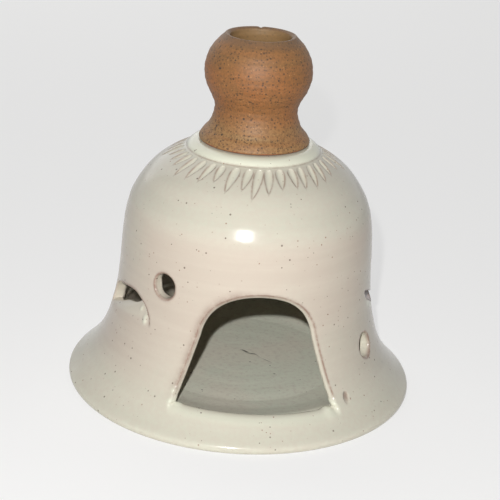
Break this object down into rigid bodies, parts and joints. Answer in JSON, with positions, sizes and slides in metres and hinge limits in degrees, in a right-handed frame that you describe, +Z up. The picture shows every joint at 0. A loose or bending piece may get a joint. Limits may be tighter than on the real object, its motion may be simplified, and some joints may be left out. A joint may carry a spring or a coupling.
{
  "type": "oil burner",
  "caption": "Bell-shaped glazed stoneware stand for a tealight, with an arched doorway, wall vents and a bare stoneware oil vessel that lifts off the crown.",
  "frame": {"origin": "on the table, under the centre of the round foot", "axes": "+Z up along the turning axis, the doorway faces -Y, +X to the right of someone facing the doorway"},
  "size_m": [0.171, 0.171, 0.175],
  "materials": {
    "white_glaze": "glossy warm white glaze with iron specks",
    "inner_glaze": "satin grey white glaze over throwing rings",
    "bare_stoneware": "unglazed toasted brown stoneware with dark specks"
  },
  "bodies": {
    "stand": {"bell_stand": "white_glaze", "floor_dish": "inner_glaze"},
    "vessel": {"oil_vessel": "bare_stoneware"}
  },
  "joints": [
    {"name": "vessel_lift", "type": "slide", "parent": "stand", "child": "vessel", "axis": [0, 0, 1], "range_m": [0, 0.06]}
  ]
}
